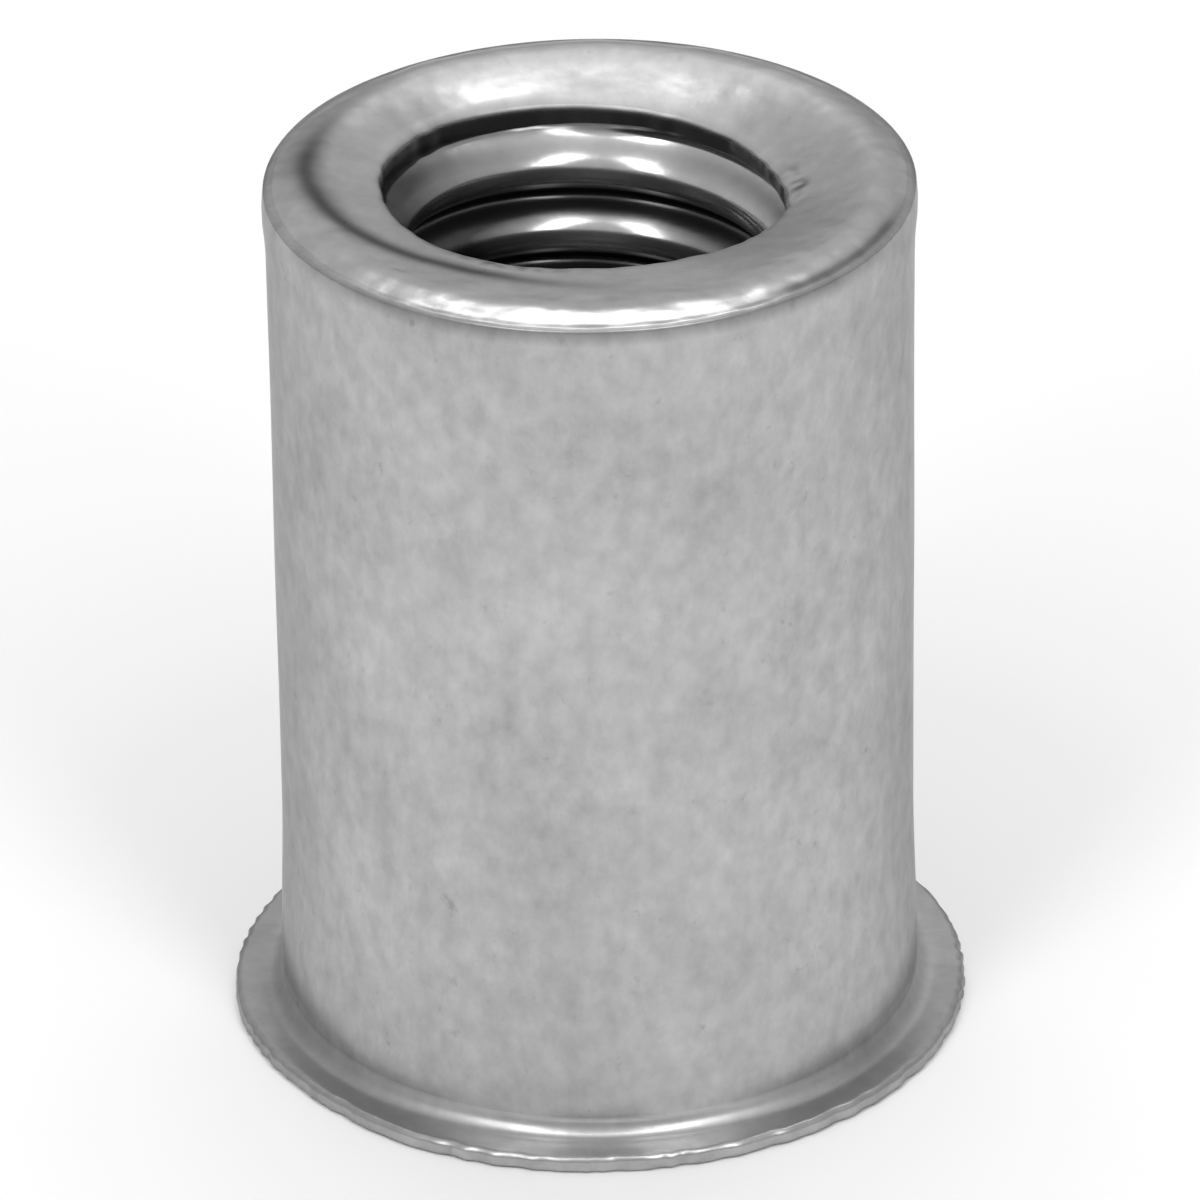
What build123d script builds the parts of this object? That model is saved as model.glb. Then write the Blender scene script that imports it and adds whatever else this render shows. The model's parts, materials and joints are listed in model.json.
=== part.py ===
"""Rivet nut: a one-piece threaded insert, M6 x 1, with a thin flange at its lower end.

The nut stands on its flange, with its axis along +Z and its origin at the centre of the
flange's flat end face. From the flange up there is a thin wall round a smooth counterbore,
which folds into a bulge when the nut is set, and then a thick wall that holds the thread.
"""

from build123d import *
from build123d.topology import SkipClean

import os
from math import ceil, radians, tan

os.makedirs("parts", exist_ok=True)

# Driving dimensions, in millimetres and degrees
thread_diameter = 6.0  # major diameter of the internal thread
thread_pitch = 1.0
thread_length = 6.3  # from the top of the nut to the end of the full thread
thread_flank = 30.0  # angle of each flank, from the plane square to the axis
thread_start = 30.0  # angle from +X where the groove's centre line leaves the top

counterbore_clearance = 0.45  # between the thread's major radius and the smooth bore
counterbore_step = 60.0  # angle of the cone above the smooth bore, from the axis
thin_wall = 1.0  # round the smooth bore

overall_height = 12.9
crown_rise = 0.19  # of the rounded end, above the top of the straight side
crown_width = 0.62  # from the straight side in to the highest ring
dish_depth = 0.32  # of the mouth's edge, below the highest ring
mouth_clearance = 0.2  # of the mouth's wall, inside the thread's major radius
mouth_depth = 0.75  # of the mouth's wall, below the highest ring

flange_reach = 0.75  # past the body's side
flange_thickness = 0.25
flange_hollow = 0.36  # radius of the hollow curve between the body and the flange

shoulder_rounding = 0.1
mouth_rounding = 0.12
rim_rounding = 0.1
heel_rounding = 0.2  # where the smooth bore meets the flange's end face

# Sizes that follow from them
thread_radius = thread_diameter / 2
thread_depth = thread_pitch / 2
tapped_radius = thread_radius - thread_depth
bore_radius = thread_radius + counterbore_clearance
body_radius = bore_radius + thin_wall
flange_radius = body_radius + flange_reach
mouth_radius = thread_radius - mouth_clearance

shoulder_height = overall_height - crown_rise
mouth_floor = overall_height - mouth_depth
thread_top = mouth_floor - (mouth_radius - tapped_radius)
thread_foot = overall_height - thread_length
bore_top = thread_foot - (bore_radius - tapped_radius) / tan(radians(counterbore_step))

root_width = thread_pitch / 8
groove_run_in = 0.2 * thread_pitch  # how far the cut starts out in the open bore
groove_width = root_width + 2 * (thread_depth + groove_run_in) * tan(radians(thread_flank))
turns_below_top = ceil((overall_height - bore_top) / thread_pitch)
groove_foot = overall_height - (turns_below_top + thread_start / 360) * thread_pitch
groove_turns = turns_below_top + 1

# The body: half of its section, turned about the axis a quarter at a time, so that the
# thread's crest is left in short faces, each close to level
with BuildPart() as rivet_nut:
    with BuildSketch(Plane.XZ) as section:
        with BuildLine() as outline:
            flange = Polyline(
                (bore_radius, 0),
                (flange_radius, 0),
                (flange_radius, flange_thickness),
                (body_radius + flange_hollow, flange_thickness),
            )
            hollow_top = (body_radius, flange_thickness + flange_hollow)
            TangentArc(hollow_top, flange @ 1, tangent=(0, -1))
            shoulder = (body_radius, shoulder_height)
            Line(hollow_top, shoulder)
            highest = (body_radius - crown_width, overall_height)
            TangentArc(highest, shoulder, tangent=(1, 0))
            mouth_edge = (mouth_radius, overall_height - dish_depth)
            TangentArc(highest, mouth_edge, tangent=(-1, 0))
            Polyline(
                mouth_edge,
                (mouth_radius, mouth_floor),
                (tapped_radius, thread_top),
                (tapped_radius, thread_foot),
                (bore_radius, bore_top),
                (bore_radius, 0),
            )
        make_face()

        def corner(place):
            """The corner of the section at this radius and height."""
            return section.vertices().sort_by_distance(place)[0]

        fillet(section.vertices().group_by(Axis.X)[-1], rim_rounding)
        fillet(corner(shoulder), shoulder_rounding)
        fillet(corner(mouth_edge), mouth_rounding)
        fillet(corner((bore_radius, 0)), heel_rounding)
    quarter = revolve(axis=Axis.Z, revolution_arc=90)
    with SkipClean(), PolarLocations(0, 3, start_angle=90, angular_range=270):
        add(quarter, clean=False)

# The thread: one turn of its groove, which has a narrow flat root, swept along a helix
with BuildPart() as groove_turn:
    with BuildLine() as groove_path:
        Helix(pitch=thread_pitch, height=thread_pitch, radius=tapped_radius)
    across = Plane(groove_path.line @ 0, x_dir=(1, 0, 0), z_dir=groove_path.line % 0)
    with BuildSketch(across) as groove_section:
        with BuildLine():
            Polyline(
                (-groove_run_in, -groove_width / 2),
                (thread_depth, -root_width / 2),
                (thread_depth, root_width / 2),
                (-groove_run_in, groove_width / 2),
                close=True,
            )
        make_face()
    sweep(path=groove_path.line, is_frenet=True)

# It is cut turn by turn, from the smooth bore up and out of the mouth, as a tap leaves it
with SkipClean(), rivet_nut:
    for turn in range(groove_turns):
        with Locations((0, 0, groove_foot + turn * thread_pitch)):
            add(groove_turn.part, mode=Mode.SUBTRACT, clean=False)

rivet_nut.part.label = "rivet_nut"
export_step(rivet_nut.part, "parts/rivet_nut.step")
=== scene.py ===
"""A zinc-plated rivet nut, standing on its flange on a pale table in soft studio light.

The nut's skin is one closed mesh, turned from its section ring by ring. The inside wall is
the wider of the plain bore and the thread's groove, so the groove runs out of the mouth as
a tap leaves it. Tool marks, wear and the uneven lip and rim are moved into the mesh.
"""

import json
from math import cos, radians, sin, sqrt, tan

import bpy
import numpy as np
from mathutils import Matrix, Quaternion, Vector, noise


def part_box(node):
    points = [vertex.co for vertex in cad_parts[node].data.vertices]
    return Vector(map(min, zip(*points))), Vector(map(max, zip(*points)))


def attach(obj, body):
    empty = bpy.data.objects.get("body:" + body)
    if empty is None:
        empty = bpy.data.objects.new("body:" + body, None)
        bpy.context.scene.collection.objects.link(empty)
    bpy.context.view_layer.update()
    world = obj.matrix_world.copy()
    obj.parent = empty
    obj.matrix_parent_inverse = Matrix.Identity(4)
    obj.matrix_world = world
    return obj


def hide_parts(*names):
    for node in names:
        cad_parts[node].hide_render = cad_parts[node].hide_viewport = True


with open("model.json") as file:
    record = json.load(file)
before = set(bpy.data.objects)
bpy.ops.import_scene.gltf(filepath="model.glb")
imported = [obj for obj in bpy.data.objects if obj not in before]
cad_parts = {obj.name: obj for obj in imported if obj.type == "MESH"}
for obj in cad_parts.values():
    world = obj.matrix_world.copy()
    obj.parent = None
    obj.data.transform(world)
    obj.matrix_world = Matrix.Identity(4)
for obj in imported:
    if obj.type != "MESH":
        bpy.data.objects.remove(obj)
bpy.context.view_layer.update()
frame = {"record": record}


# ---------------------------------------------------------------- sizes

# In metres. The first ones come from the frame, and the rest are the skin's own.
MM = 0.001
mounts = {mount["name"]: mount for mount in frame["record"]["mounts"]}
nut_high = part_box("rivet_nut")[1]


def mount_radius(name):
    """The radius of a round mount, in metres."""
    return mounts[name]["dims"]["r_mm"] * MM


HEIGHT = nut_high.z
FLANGE_RADIUS = nut_high.x
BODY_RADIUS = mount_radius("body")
BORE_RADIUS = mount_radius("screw_clearance_bore")
TAPPED_RADIUS = mount_radius("thread")

PITCH = 1.0 * MM
THREAD_LENGTH = 6.3 * MM  # from the top of the nut
THREAD_DEPTH = 0.57 * MM
THREAD_START = 22  # degrees from +X, where the groove's centre line leaves the top
ROOT_ROUNDING = 0.28  # as a share of the thread's depth
THREAD_FOOT = HEIGHT - THREAD_LENGTH
BORE_TOP = THREAD_FOOT - (BORE_RADIUS - TAPPED_RADIUS) / tan(radians(60))
WALL_BLEND = 0.12 * MM  # how softly the groove runs out into the mouth's wall

CROWN_WIDTH = 0.62 * MM
CROWN_RISE = 0.13 * MM
CROWN_SLOPE = 0.45  # the share of the crown's width that slopes evenly
CROWN_EASE = 0.3  # the share over which the slope then dies away
SHOULDER_ROUNDING = 0.07 * MM
SHOULDER_TURN = 66  # degrees, from the upright side to the foot of the crown's slope
MOUTH_FLOOR = HEIGHT - 0.75 * MM
RIDGE_RADIUS = BODY_RADIUS - CROWN_WIDTH

# The worn lip's depth and radius, in millimetres, at angles from +X in degrees
LIP_DROP = [(0, 0.50), (26, 0.53), (60, 0.49), (90, 0.46), (120, 0.39), (150, 0.28), (180, 0.23),
            (225, 0.16), (270, 0.10), (298, 0.14), (318, 0.27), (337, 0.41)]
LIP_RADIUS = [(0, 2.70), (25, 2.73), (42, 2.81), (58, 2.88), (90, 3.00), (131, 3.06), (153, 2.98),
              (172, 2.88), (185, 2.79), (205, 2.74), (236, 2.67), (265, 2.61), (300, 2.58),
              (328, 2.52), (340, 2.56), (350, 2.64)]

FLANGE_THICKNESS = 0.25 * MM
FLANGE_HOLLOW = 0.26 * MM
SMALL_ROUNDING = 0.09 * MM

# A shallow valley left by the forming tool in the dish: its radius at angles round the left side
VALLEY = [(140, 4.00), (177, 3.90), (201, 3.60), (218, 3.38), (232, 3.22), (247, 3.16), (275, 3.30)]
VALLEY_DEPTH = 0.014 * MM
VALLEY_WIDTH = 0.16 * MM

FLARE = 0.06 * MM  # of the body's foot, over the last few millimetres
BULGE = 0.04 * MM  # of the body's shoulder
WAVES = 0.010 * MM  # of the side, left by drawing
CROWN_WAVES = 0.018 * MM
LIP_WEAR = 0.03 * MM
RIM_WEAR = 0.07 * MM
RIM_FLATS = 0.09 * MM  # where longer stretches of the rim are worn away

# How many points go round each ring, and how many rings each part of the section has
COLUMNS = 300
UNDERSIDE_RINGS = 10
ROUNDING_RINGS = 5
RIM_RINGS = 2
LEDGE_RINGS = 5
HOLLOW_RINGS = 16
SIDE_RINGS = 62
CORNER_RINGS = 6
CROWN_RINGS = 30
DISH_RINGS = 34
WALL_RINGS = 16
CONE_RINGS = 10
SEEN_RINGS = 80  # finer rings, where the thread is seen
SEEN_DEPTH = 3.6 * MM

# The rings where these parts begin
HOLLOW_START = UNDERSIDE_RINGS + 2 * ROUNDING_RINGS + RIM_RINGS + LEDGE_RINGS
SIDE_START = HOLLOW_START + HOLLOW_RINGS
CROWN_START = SIDE_START + SIDE_RINGS
DISH_START = CROWN_START + CROWN_RINGS
WALL_START = DISH_START + DISH_RINGS


# ---------------------------------------------------------------- section

def straight(start, end, steps):
    """Points from start up to, but not including, end."""
    share = np.linspace(0, 1, steps, endpoint=False)[:, None]
    return np.array(start) * (1 - share) + np.array(end) * share


def arc(centre, radius, first, last, steps):
    """Points round a centre in the section, from one angle up to another, in degrees."""
    angles = np.radians(np.linspace(first, last, steps, endpoint=False))
    return np.array(centre) + radius * np.stack([np.cos(angles), np.sin(angles)], axis=1)


def crown_section():
    """The crown's points, from the shoulder in and up to the highest ring."""
    shoulder = (BODY_RADIUS - SHOULDER_ROUNDING, HEIGHT - CROWN_RISE - 0.8 * SHOULDER_ROUNDING)
    corner = arc(shoulder, SHOULDER_ROUNDING, 0, SHOULDER_TURN, CORNER_RINGS)
    turned = radians(SHOULDER_TURN)
    start = np.array(shoulder) + SHOULDER_ROUNDING * np.array([cos(turned), sin(turned)])
    ridge = np.array([RIDGE_RADIUS, HEIGHT])
    share = np.linspace(0, 1, CROWN_RINGS - CORNER_RINGS, endpoint=False)[:, None]
    eased = np.clip(share - CROWN_SLOPE, 0, CROWN_EASE) ** 2 / (2 * CROWN_EASE)
    rise = (np.minimum(share, CROWN_SLOPE + CROWN_EASE) - eased) / (CROWN_SLOPE + CROWN_EASE / 2)
    return np.concatenate([corner, start + (ridge - start) * np.concatenate([share, rise], axis=1)])


def outside_section():
    """The section's points from the flange's underside, up the side and over the crown."""
    rim = FLANGE_RADIUS - SMALL_ROUNDING
    upper = FLANGE_THICKNESS - SMALL_ROUNDING
    hollow = (BODY_RADIUS + FLANGE_HOLLOW, FLANGE_THICKNESS + FLANGE_HOLLOW)
    crown = crown_section()
    return np.concatenate([
        straight((BORE_RADIUS + SMALL_ROUNDING, 0), (rim, 0), UNDERSIDE_RINGS),
        arc((rim, SMALL_ROUNDING), SMALL_ROUNDING, -90, 0, ROUNDING_RINGS),
        straight((FLANGE_RADIUS, SMALL_ROUNDING), (FLANGE_RADIUS, upper), RIM_RINGS),
        arc((rim, upper), SMALL_ROUNDING, 0, 90, ROUNDING_RINGS),
        straight((rim, FLANGE_THICKNESS), (hollow[0], FLANGE_THICKNESS), LEDGE_RINGS),
        arc(hollow, FLANGE_HOLLOW, 270, 180, HOLLOW_RINGS),
        straight((BODY_RADIUS, hollow[1]), (BODY_RADIUS, crown[0][1]), SIDE_RINGS),
        crown,
    ])


def inside_section():
    """The section's points from the highest ring down to the flange, without the thread."""
    thread_top = MOUTH_FLOOR - 0.3 * MM
    seen_floor = HEIGHT - SEEN_DEPTH
    return np.concatenate([
        straight((RIDGE_RADIUS, HEIGHT), (TAPPED_RADIUS, HEIGHT), DISH_RINGS),
        straight((TAPPED_RADIUS, HEIGHT), (TAPPED_RADIUS, MOUTH_FLOOR), WALL_RINGS),
        straight((TAPPED_RADIUS, MOUTH_FLOOR), (TAPPED_RADIUS, thread_top), CONE_RINGS),
        straight((TAPPED_RADIUS, thread_top), (TAPPED_RADIUS, seen_floor), SEEN_RINGS),
        straight((TAPPED_RADIUS, seen_floor), (TAPPED_RADIUS, THREAD_FOOT), 30),
        straight((TAPPED_RADIUS, THREAD_FOOT), (BORE_RADIUS, BORE_TOP), 8),
        straight((BORE_RADIUS, BORE_TOP), (BORE_RADIUS, SMALL_ROUNDING), 10),
        arc((BORE_RADIUS + SMALL_ROUNDING, SMALL_ROUNDING), SMALL_ROUNDING, 180, 270, 4),
    ])


# ---------------------------------------------------------------- soft edges and waves

def near_angle(turn, centre, spread):
    """A bell over the angles near a centre, in degrees, from 1 there to 0 far away."""
    away = (turn - centre + 180) % 360 - 180
    return np.exp(-(away / spread) ** 2)


def bell(values, centre, spread):
    """A bell over values near a centre, from 1 there to 0 far away."""
    return np.exp(-((values - centre) / spread) ** 2)


def between(values, low, high, blur):
    """1 between two values and 0 outside them, with soft edges."""
    return np.clip((values - low) / blur + 0.5, 0, 1) * np.clip((high - values) / blur + 0.5, 0, 1)


def wave(radius, height, turn, size, stretch=1.0):
    """A gentle random wave over the skin, about from -1 to 1, with waves of a given size."""
    angle = np.radians(turn)
    places = np.stack([radius * np.cos(angle), radius * np.sin(angle), height / stretch], axis=2) / size
    return np.array([noise.noise(place) for place in places.reshape(-1, 3)]).reshape(radius.shape)


def soften(values, passes):
    """Eases each ring of values towards its neighbours."""
    for _ in range(passes):
        values[1:-1] = (values[:-2] + 2 * values[1:-1] + values[2:]) / 4


def round_the_mouth(turn, values):
    """A smooth value at each angle, from (angle, value) pairs set round the mouth."""
    angles, sizes = zip(*values)
    coarse = np.arange(360)
    level = np.interp(coarse, angles, sizes, period=360)
    kernel = np.hanning(19)
    wrapped = np.concatenate([level[-9:], level, level[:9]])
    smooth = np.convolve(wrapped, kernel / kernel.sum(), mode="valid")
    return np.interp(turn % 360, coarse, smooth, period=360)


def valley_radius(turn):
    """The radius of the forming tool's valley at each angle, in metres."""
    return np.interp(turn, *zip(*VALLEY)) * MM


# ---------------------------------------------------------------- mouth and thread

def wear_the_mouth(radius, height, turn):
    """Lays the dish, the mouth's wall and the cone below it to the worn lip."""
    drop = round_the_mouth(turn, LIP_DROP) * MM
    lip = round_the_mouth(turn, LIP_RADIUS) * MM
    lip = lip + LIP_WEAR * wave(lip, 0 * lip, turn, 0.3 * MM)
    inward = np.linspace(0, 1, DISH_RINGS, endpoint=False)[:, None]
    down = np.linspace(0, 1, WALL_RINGS, endpoint=False)[:, None]
    cone = np.linspace(0, 1, CONE_RINGS, endpoint=False)[:, None]
    wall_end = DISH_RINGS + WALL_RINGS
    radius[:DISH_RINGS] = RIDGE_RADIUS - (RIDGE_RADIUS - lip) * inward
    height[:DISH_RINGS] = HEIGHT - drop * inward
    radius[DISH_RINGS:wall_end] = lip
    height[DISH_RINGS:wall_end] = HEIGHT - drop - (HEIGHT - MOUTH_FLOOR - drop) * down
    radius[wall_end:wall_end + CONE_RINGS] = lip + (TAPPED_RADIUS - lip) * cone
    near_lip = slice(DISH_RINGS - 8, DISH_RINGS + 10)
    soften(radius[near_lip], 16)
    soften(height[near_lip], 16)


def groove_radius(turn, z):
    """How far out the thread's groove reaches at each angle, in degrees, and height."""
    centre = HEIGHT + (turn - THREAD_START) / 360 * PITCH
    rise = np.sqrt(np.sin(np.pi * (z - centre) / PITCH) ** 2 + ROOT_ROUNDING ** 2)
    return TAPPED_RADIUS + THREAD_DEPTH * (sqrt(1 + ROOT_ROUNDING ** 2) - rise)


def wider(first, second, rounding):
    """The larger of two radii, with a rounded corner where they cross."""
    blend = np.maximum(rounding - np.abs(first - second), 0) / rounding
    return np.maximum(first, second) + blend ** 2 * rounding / 4


def cut_the_thread(radius, height, turn):
    """Widens the inside wall to the thread's groove, which fades out just below the lip."""
    below_lip = HEIGHT - round_the_mouth(turn, LIP_DROP) * MM - height
    run_out = np.clip(below_lip / WALL_BLEND, 0, 1) * (height > BORE_TOP - PITCH / 2)
    run_out[:DISH_RINGS] = 0
    cut = wider(radius, groove_radius(turn, height), WALL_BLEND)
    radius += (cut - radius) * run_out ** 2 * (3 - 2 * run_out)


# ---------------------------------------------------------------- tool marks and wear

def mark_the_top(radius, height, turn):
    """Presses the tool's valley and gentle waves into the crown and the dish."""
    top = slice(CROWN_START, WALL_START)
    reach = np.clip((turn - 130) / 30, 0, 1) * np.clip((290 - turn) / 30, 0, 1)
    across = (radius - valley_radius(turn)) / VALLEY_WIDTH
    height[top] -= (VALLEY_DEPTH * reach * np.exp(-across ** 2))[top]
    inner = np.clip((radius - 3.2 * MM) / (0.6 * MM), 0, 1)
    outer = np.clip((BODY_RADIUS - radius) / (0.12 * MM), 0, 1)
    waves = wave(radius[top], height[top], turn[top], 0.45 * MM)
    waves += 0.4 * wave(radius[top], height[top], turn[top], 0.17 * MM)
    height[top] += CROWN_WAVES * (waves - 0.7) * (inner * outer)[top]


def swell_the_side(radius, height, turn):
    """Flares the body's foot, swells its shoulder and ripples its side."""
    side = slice(HOLLOW_START, CROWN_START + 4)
    foot = np.clip((3.2 * MM - height) / (2.6 * MM), 0, 1)
    shoulder = bell(height, HEIGHT - 0.45 * MM, 0.35 * MM)
    swell = FLARE * foot ** 2 * (3 - 2 * foot) * np.clip(height / (0.4 * MM), 0, 1) + BULGE * shoulder
    ripple = WAVES * wave(radius[side], height[side], turn[side], 1.6 * MM, stretch=1.8)
    radius[side] += swell[side] + ripple


def wear_the_rim(radius, height, turn):
    """Takes small bites and longer flats out of the flange's rim."""
    rim = slice(UNDERSIDE_RINGS - 3, HOLLOW_START)
    bites = np.abs(wave(radius[rim], 0 * height[rim], turn[rim], 0.32 * MM))
    flats = 0.9 * near_angle(turn, 218, 20) + 0.5 * near_angle(turn, 300, 40)
    edge = np.clip((radius[rim] - FLANGE_RADIUS + 0.42 * MM) / (0.32 * MM), 0, 1)
    radius[rim] -= edge * (RIM_WEAR * bites + RIM_FLATS * flats[rim])


# ---------------------------------------------------------------- painted shade and scuffs

def top_shade_and_scuffs(radius, depth, turn):
    """Painted dark reflections in the tool's valley and along the right edge, a painted dark line just
    under the shoulder, and dark scuffs beside the lip.
    """
    on_top = between(depth, -1 * MM, 0.45 * MM, 0.05 * MM) * (radius > 3.0 * MM)
    # Painted dark reflections in the valley and along the right edge, and a painted dark line under the
    # shoulder; the scuffs and nicks are marks on the metal.
    valley_width = (0.15 + 0.09 * near_angle(turn, 172, 34)) * MM
    valley = between(turn, 150, 262, 40) * bell(radius, valley_radius(turn), valley_width)
    right_edge = between(turn, 302, 345, 14) * bell(radius, 4.32 * MM, 0.08 * MM)
    from_shoulder = np.hypot(radius - BODY_RADIUS, depth - CROWN_RISE - 0.09 * MM)
    shoulder = between(turn, 215, 330, 30) * bell(from_shoulder, 0, 0.08 * MM)
    scuffs = np.clip(2.2 * wave(radius, 0 * depth, turn, 0.17 * MM) + 0.25, 0, 1) * (depth < 0.6 * MM)
    right_nick = near_angle(turn, 9, 8) * bell(radius, 2.9 * MM, 0.13 * MM)
    left_nick = near_angle(turn, 240, 24) * bell(radius, 2.8 * MM, 0.1 * MM)
    nicks = scuffs * (right_nick + 0.8 * left_nick)
    return on_top * (0.95 * valley + 0.8 * right_edge) + 0.6 * shoulder + nicks


def painted_shade_on_flange(radius, height, turn):
    """Painted dark reflections in the hollow above the flange and on its ledge, at both sides."""
    # Painted dark reflections: the hollow and the ledge are darkened at the left and right sides only.
    hollow = (height < 0.6 * MM) * (radius > BODY_RADIUS) * bell(radius, 4.60 * MM, 0.2 * MM)
    ledge = (height < 0.5 * MM) * between(radius, BODY_RADIUS + 0.3 * MM, FLANGE_RADIUS, 0.15 * MM)
    in_hollow = hollow * (0.4 * between(turn, 172, 232, 30) + 0.45 * between(turn, 308, 342, 30))
    on_ledge = ledge * (between(turn, 150, 245, 40) + between(turn, 300, 375, 40))
    return in_hollow + 0.16 * on_ledge


def painted_shade_inside(radius, depth, turn):
    """Painted shade under the lip, at the sides of the bore and in the thread's groove."""
    below_lip = depth - round_the_mouth(turn, LIP_DROP) * MM
    # Painted shade: under the lip, in the first turn at the sides, deeper down away from the far wall,
    # and on the thread's flanks and root.
    inside = (radius < 3.15 * MM) * (depth < HEIGHT - BORE_TOP)
    under_lip = between(below_lip, 0.08 * MM, 0.37 * MM, 0.08 * MM)
    first_turn = between(below_lip, 0.3 * MM, 9 * MM, 0.2 * MM)
    sides = near_angle(turn, 170, 42) + 0.5 * near_angle(turn, 352, 24)
    deeper = between(below_lip, 1.1 * MM, 9 * MM, 0.2 * MM) * (1 - near_angle(turn, 90, 34))
    threaded = between(below_lip, 0.6 * MM, 9 * MM, 0.3 * MM)
    phase = (-depth - (turn - THREAD_START) / 360 * PITCH) / PITCH % 1
    flanks = between(phase, -0.2, 0.36, 0.16) + between(phase, 0.78, 1.2, 0.16)
    root = between(phase, -0.2, 0.16, 0.1) + between(phase, 0.82, 1.2, 0.1)
    groove = threaded * (0.75 * flanks + 0.3 * root)
    return inside * (0.75 * under_lip + first_turn * sides + 0.75 * deeper + groove)


def shade_and_scuffs(radius, height, turn):
    """How dark and dull each place is, from 0 to 1: painted shade in low places and the bore, painted
    dark reflections on the top and flange, and scuffs beside the lip.
    """
    depth = HEIGHT - height
    shade_sum = top_shade_and_scuffs(radius, depth, turn) + painted_shade_on_flange(radius, height, turn)
    return np.clip(shade_sum + painted_shade_inside(radius, depth, turn), 0, 1)


def dullness(radius, height, turn):
    """Where the plating is left dull, from 0 to 1: at the back of the top, and over the flange."""
    ridge = bell(radius, RIDGE_RADIUS, 0.25 * MM) * (height > HEIGHT - 0.3 * MM)
    lip = bell(HEIGHT - height, round_the_mouth(turn, LIP_DROP) * MM, 0.06 * MM) * (radius < 3.2 * MM)
    hollow = (height < 0.54 * MM) * (radius > BODY_RADIUS) * bell(radius, 4.55 * MM, 0.25 * MM)
    at_sides = 1 - near_angle(turn, 270, 38)
    return (ridge + lip) * near_angle(turn, 90, 75) + 0.8 * hollow * at_sides


# ---------------------------------------------------------------- skin

def nut_skin():
    """Radius, height and angle of every point of the skin, as three grids of rings by columns."""
    outside, inside = outside_section(), inside_section()
    turn = np.linspace(0, 360, COLUMNS, endpoint=False)[None, :]
    radius_out, height_out = (np.repeat(outside[:, i:i + 1], COLUMNS, axis=1) for i in (0, 1))
    radius_in, height_in = (np.repeat(inside[:, i:i + 1], COLUMNS, axis=1) for i in (0, 1))
    wear_the_mouth(radius_in, height_in, turn)
    cut_the_thread(radius_in, height_in, turn)
    radius = np.concatenate([radius_out, radius_in])
    height = np.concatenate([height_out, height_in])
    soften(height[DISH_START - 14:DISH_START + 14], 10)
    turn = np.repeat(turn, len(radius), axis=0)
    mark_the_top(radius, height, turn)
    swell_the_side(radius, height, turn)
    wear_the_rim(radius, height, turn)
    return radius, height, turn


def ring_mesh(name, radius, height, turn):
    """A closed mesh from grids of radius, height and angle, whose last ring joins the first."""
    rings, columns = radius.shape
    angle = np.radians(turn)
    places = np.stack([radius * np.cos(angle), radius * np.sin(angle), height], axis=2)
    ring, column = np.meshgrid(np.arange(rings), np.arange(columns), indexing="ij")
    next_ring, next_column = (ring + 1) % rings, (column + 1) % columns
    corners = [(ring, column), (ring, next_column), (next_ring, next_column), (next_ring, column)]
    faces = np.stack([a * columns + b for a, b in corners], axis=2).reshape(-1, 4)
    mesh = bpy.data.meshes.new(name)
    mesh.from_pydata(places.reshape(-1, 3).tolist(), [], faces.tolist())
    mesh.shade_smooth()
    mesh.update()
    return mesh


radius, height, turn = nut_skin()
nut = bpy.data.objects.new("nut_skin", ring_mesh("nut_skin", radius, height, turn))
bpy.context.scene.collection.objects.link(nut)
# Two layers kept in the mesh's points: painted shade with scuffs, which darkens the colour, and
# dullness, which only roughens.
for label, amount in (("shade_and_scuffs", shade_and_scuffs), ("dullness", dullness)):
    layer = nut.data.attributes.new(label, "FLOAT", "POINT")
    layer.data.foreach_set("value", amount(radius, height, turn).ravel())


# ---------------------------------------------------------------- finishes

DARKENING_SHARE = 0.85  # of the metal's own shade that full painted shade and scuffs hide
DULLING = 0.35  # of roughness, that full dullness adds


def node_group(name, inputs, output):
    """An empty shader node group with one output, and its input and output nodes."""
    group = bpy.data.node_groups.new(name, "ShaderNodeTree")
    group.interface.new_socket("Place", in_out="INPUT", socket_type="NodeSocketVector")
    for label, value in inputs.items():
        socket = group.interface.new_socket(label, in_out="INPUT", socket_type="NodeSocketFloat")
        socket.default_value = value
    group.interface.new_socket(output, in_out="OUTPUT", socket_type="NodeSocketFloat")
    return group, group.nodes.new("NodeGroupInput"), group.nodes.new("NodeGroupOutput")


def maths(tree, operation, *terms):
    """Adds a Math node on sockets or numbers, and returns its output."""
    node = tree.nodes.new("ShaderNodeMath")
    node.operation = operation
    for socket, term in zip(node.inputs, terms):
        if isinstance(term, (int, float)):
            socket.default_value = term
        else:
            tree.links.new(term, socket)
    return node.outputs["Value"]


def ramp_between(tree, value, low, high):
    """A smooth step of a value, from 0 at low to 1 at high."""
    node = tree.nodes.new("ShaderNodeMapRange")
    node.interpolation_type = "SMOOTHSTEP"
    node.inputs["From Min"].default_value = low
    node.inputs["From Max"].default_value = high
    tree.links.new(value, node.inputs["Value"])
    return node.outputs["Result"]


def speckle(tree, place, scale, detail, stretch=(1, 1, 1), roughness=0.5):
    """Adds a noise from 0 to 1, with a given number of grains a metre, and returns its output."""
    mapping = tree.nodes.new("ShaderNodeMapping")
    mapping.inputs["Scale"].default_value = stretch
    texture = tree.nodes.new("ShaderNodeTexNoise")
    texture.inputs["Detail"].default_value = detail
    texture.inputs["Roughness"].default_value = roughness
    if isinstance(scale, (int, float)):
        texture.inputs["Scale"].default_value = scale
    else:
        tree.links.new(scale, texture.inputs["Scale"])
    tree.links.new(place, mapping.inputs["Vector"])
    tree.links.new(mapping.outputs["Vector"], texture.inputs["Vector"])
    return texture.outputs["Fac"]


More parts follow.
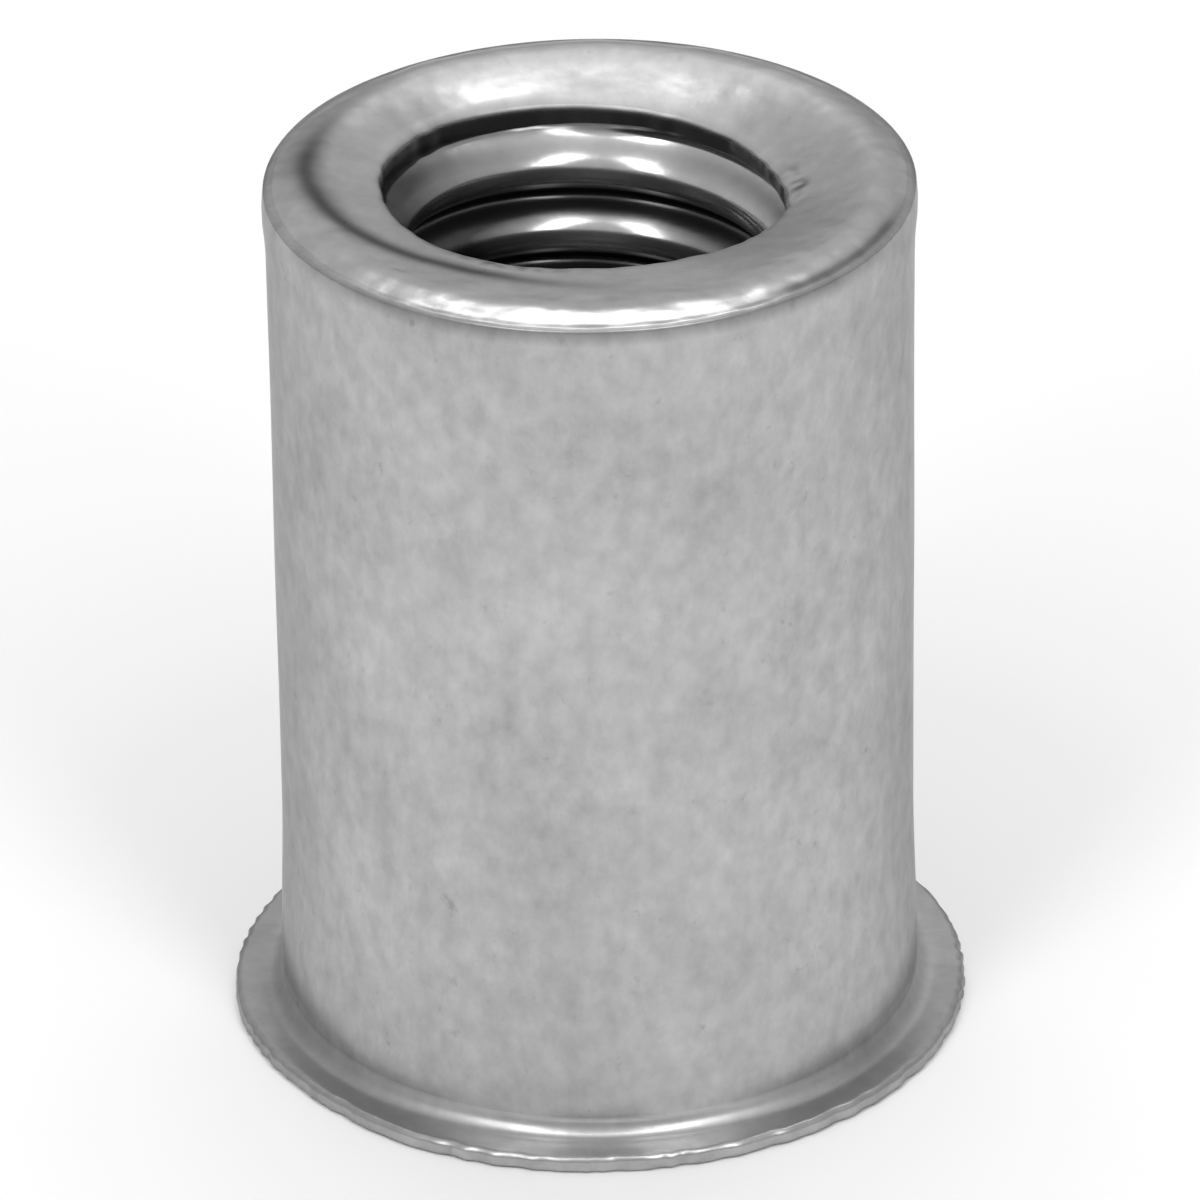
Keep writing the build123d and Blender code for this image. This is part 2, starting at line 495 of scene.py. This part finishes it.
def mottle_group():
    """Cloudy patches and finer flecks in a plated surface, and streaks drawn along the axis."""
    inputs = {"Patches": 600.0, "Flecks": 3600.0, "Contrast": 0.3}
    group, given, result = node_group("plating_mottle", inputs, "Shade")
    place = given.outputs["Place"]
    patches = speckle(group, place, given.outputs["Patches"], 3, (1, 1, 0.8))
    flecks = speckle(group, place, given.outputs["Flecks"], 4, (1, 1, 0.75), 0.6)
    streaks = speckle(group, place, 2600.0, 3, (1, 1, 0.06))
    cloud = maths(group, "MULTIPLY", patches, 0.9)
    cloud = maths(group, "MULTIPLY_ADD", flecks, 1.3, cloud)
    cloud = maths(group, "MULTIPLY_ADD", streaks, 0.25, cloud)
    centred = maths(group, "SUBTRACT", cloud, 1.22)
    shade = maths(group, "MULTIPLY_ADD", centred, given.outputs["Contrast"], 1.0)
    group.links.new(shade, result.inputs["Shade"])
    return group


def pits_group():
    """Small dark pits, sparse and uneven, as a mask."""
    group, given, result = node_group("plating_pits", {"Pits": 5200.0, "Amount": 0.5}, "Mask")
    spots = speckle(group, given.outputs["Place"], given.outputs["Pits"], 3, (1, 1, 0.8), 0.6)
    where = ramp_between(group, speckle(group, given.outputs["Place"], 1100.0, 2), 0.45, 0.62)
    spot = ramp_between(group, spots, 0.60, 0.74)
    mask = maths(group, "MULTIPLY", maths(group, "MULTIPLY", spot, where), given.outputs["Amount"])
    group.links.new(mask, result.inputs["Mask"])
    return group


def grain_group():
    """The height of the plating's grain and of the dimples under it, from 0 to about 1."""
    inputs = {"Grain": 11000.0, "Dimples": 2800.0, "Dimple Share": 0.6}
    group, given, result = node_group("plating_grain", inputs, "Height")
    grain = speckle(group, given.outputs["Place"], given.outputs["Grain"], 3)
    dimples = speckle(group, given.outputs["Place"], given.outputs["Dimples"], 2)
    mix = group.nodes.new("ShaderNodeMix")
    group.links.new(given.outputs["Dimple Share"], mix.inputs["Factor"])
    group.links.new(grain, mix.inputs["A"])
    group.links.new(dimples, mix.inputs["B"])
    group.links.new(mix.outputs["Result"], result.inputs["Height"])
    return group


PLATING_MOTTLE = mottle_group()
PLATING_PITS = pits_group()
PLATING_GRAIN = grain_group()


def placed(tree, group, label, value):
    """A node that uses a group, with one value set and its place taken from the object."""
    node = tree.nodes.new("ShaderNodeGroup")
    node.node_tree = group
    place = tree.nodes.get("place") or tree.nodes.new("ShaderNodeTexCoord")
    place.name = "place"
    tree.links.new(place.outputs["Object"], node.inputs["Place"])
    node.inputs[label].default_value = value
    return node.outputs[0]


def painted(tree, label):
    """The value of a layer that is kept in the mesh's points."""
    node = tree.nodes.new("ShaderNodeAttribute")
    node.attribute_name = label
    return node.outputs["Fac"]


def zinc_finish(name, shade, roughness, dark_dulls, contrast, pits, grain_height, dimples, edge_tint):
    """A zinc-plated finish with its own shade, roughness, mottle, pits and grain."""
    finish = bpy.data.materials.new(name)
    finish.use_nodes = True
    tree = finish.node_tree
    shader = tree.nodes["Principled BSDF"]
    shader.inputs["Metallic"].default_value = 0.92
    shader.inputs["Specular Tint"].default_value = (edge_tint, edge_tint, edge_tint, 1)
    mottle = placed(tree, PLATING_MOTTLE, "Contrast", contrast)
    holes = placed(tree, PLATING_PITS, "Amount", pits)
    grain = placed(tree, PLATING_GRAIN, "Dimple Share", dimples)

    # The painted shade and scuffs, with the pits, darken the metal's base colour and roughen it a
    # little.
    dark = maths(tree, "MULTIPLY_ADD", painted(tree, "shade_and_scuffs"), DARKENING_SHARE, holes)
    bare = maths(tree, "SUBTRACT", 1.0, dark)
    level = maths(tree, "MULTIPLY", maths(tree, "MULTIPLY", mottle, shade), bare)
    grey = tree.nodes.new("ShaderNodeCombineColor")
    for channel in ("Red", "Green", "Blue"):
        tree.links.new(level, grey.inputs[channel])
    tree.links.new(grey.outputs["Color"], shader.inputs["Base Color"])

    uneven = maths(tree, "MULTIPLY_ADD", mottle, -0.12, roughness + 0.12)
    dark_rough = maths(tree, "MULTIPLY_ADD", dark, dark_dulls, uneven)
    rough = maths(tree, "MULTIPLY_ADD", painted(tree, "dullness"), DULLING, dark_rough)
    tree.links.new(rough, shader.inputs["Roughness"])

    bumps = tree.nodes.new("ShaderNodeBump")
    bumps.inputs["Distance"].default_value = grain_height
    tree.links.new(grain, bumps.inputs["Height"])
    tree.links.new(bumps.outputs["Normal"], shader.inputs["Normal"])
    return finish


matte_zinc = zinc_finish("matte_zinc", shade=0.44, roughness=0.31, dark_dulls=0.2, contrast=0.46,
                         pits=0.18, grain_height=0.006 * MM, dimples=0.7, edge_tint=0.6)
rubbed_zinc = zinc_finish("rubbed_zinc", shade=0.50, roughness=0.30, dark_dulls=0.2, contrast=0.30,
                          pits=0.1, grain_height=0.005 * MM, dimples=0.8, edge_tint=0.8)
tapped_zinc = zinc_finish("tapped_zinc", shade=0.55, roughness=0.20, dark_dulls=0.04, contrast=0.25,
                          pits=0.0, grain_height=0.003 * MM, dimples=0.8, edge_tint=0.8)

# Matte outside up to the crown, rubbed on the flange's ledge and the top, and tapped inside
for finish in (matte_zinc, rubbed_zinc, tapped_zinc):
    nut.data.materials.append(finish)
crown_foot = CROWN_START + CORNER_RINGS + 3
ring_finish = np.full(len(radius), 2)
ring_finish[:crown_foot] = 0
ring_finish[HOLLOW_START - LEDGE_RINGS:SIDE_START] = 1
ring_finish[crown_foot:WALL_START] = 1
nut.data.polygons.foreach_set("material_index", np.repeat(ring_finish, COLUMNS))

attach(nut, "root")
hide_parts("rivet_nut")


# ---------------------------------------------------------------- studio

CAMERA_HEIGHT = 28.78  # degrees above level
CAMERA_ROLL = -0.771  # degrees
CAMERA_DISTANCE = 33.86  # in radii of the body
CAMERA_AIM = (0.0157, -0.0361)  # right and up from the nut's middle, in radii of the body


def table():
    """The pale table top."""
    half = 0.6
    corners = [(-half, -half, 0), (half, -half, 0), (half, half, 0), (-half, half, 0)]
    mesh = bpy.data.meshes.new("table")
    mesh.from_pydata(corners, [], [(0, 1, 2, 3)])
    top = bpy.data.objects.new("table", mesh)
    paper = bpy.data.materials.new("pale_table")
    paper.use_nodes = True
    shader = paper.node_tree.nodes["Principled BSDF"]
    shader.inputs["Base Color"].default_value = (0.92, 0.92, 0.92, 1)
    shader.inputs["Roughness"].default_value = 0.8
    mesh.materials.append(paper)
    bpy.context.scene.collection.objects.link(top)


def direction(azimuth, elevation):
    """The direction from the nut to a place, with azimuth 0 towards the camera and 90 to its right."""
    a, e = radians(azimuth), radians(elevation)
    return Vector((sin(a) * cos(e), -cos(a) * cos(e), sin(e)))


def softbox(name, azimuth, elevation, distance, width, length, radiance):
    """A rectangular light that faces the nut, of a given brightness."""
    light = bpy.data.lights.new(name, "AREA")
    light.shape = "RECTANGLE"
    light.size = width
    light.size_y = length
    light.energy = radiance * np.pi * width * length
    lamp = bpy.data.objects.new(name, light)
    towards = direction(azimuth, elevation)
    lamp.location = Vector((0, 0, HEIGHT / 2)) + towards * distance
    lamp.rotation_mode = "QUATERNION"
    lamp.rotation_quaternion = towards.to_track_quat("Z", "Y")
    bpy.context.scene.collection.objects.link(lamp)


def camera():
    """A long lens from the front and above, with the nut's top leaning a little to the left."""
    data = bpy.data.cameras.new("camera")
    data.lens = 324
    data.sensor_width = 36
    data.clip_start = 0.005
    data.clip_end = 5
    eye = bpy.data.objects.new("camera", data)
    towards = direction(0, CAMERA_HEIGHT)
    roll = Quaternion((0, 0, 1), radians(CAMERA_ROLL))
    middle = Vector((0, 0, HEIGHT - 6.5 * MM))
    eye.location = middle + towards * CAMERA_DISTANCE * BODY_RADIUS
    aim = middle + towards.to_track_quat("Z", "Y") @ roll @ Vector((*CAMERA_AIM, 0)) * BODY_RADIUS
    eye.rotation_mode = "QUATERNION"
    eye.rotation_quaternion = (eye.location - aim).to_track_quat("Z", "Y") @ roll
    bpy.context.scene.collection.objects.link(eye)
    bpy.context.scene.camera = eye


def studio_walls():
    """Pale walls and ceiling, with a darker band low down, all round the table."""
    world = bpy.data.worlds.new("studio")
    world.use_nodes = True
    nodes, links = world.node_tree.nodes, world.node_tree.links
    place = nodes.new("ShaderNodeTexCoord")
    split = nodes.new("ShaderNodeSeparateXYZ")
    ramp = nodes.new("ShaderNodeValToRGB")
    links.new(place.outputs["Generated"], split.inputs["Vector"])
    links.new(split.outputs["Z"], ramp.inputs["Fac"])
    links.new(ramp.outputs["Color"], nodes["Background"].inputs["Color"])
    levels = [(0.0, 0.16), (0.12, 0.24), (0.24, 0.60), (0.88, 0.58), (0.96, 0.85), (1.0, 0.9)]
    for i, (at, level) in enumerate(levels):
        stop = ramp.color_ramp.elements[i] if i < 2 else ramp.color_ramp.elements.new(at)
        stop.position = at
        stop.color = (level, level, level, 1)
    bpy.context.scene.world = world


table()
softbox("overhead", azimuth=176, elevation=68, distance=0.4, width=0.26, length=0.07, radiance=5.4)
softbox("front_left", azimuth=-34, elevation=47, distance=0.4, width=0.09, length=0.34, radiance=4.6)
softbox("front_right", azimuth=31, elevation=47, distance=0.4, width=0.09, length=0.34, radiance=4.6)
camera()
studio_walls()
bpy.context.scene.view_settings.view_transform = "Standard"
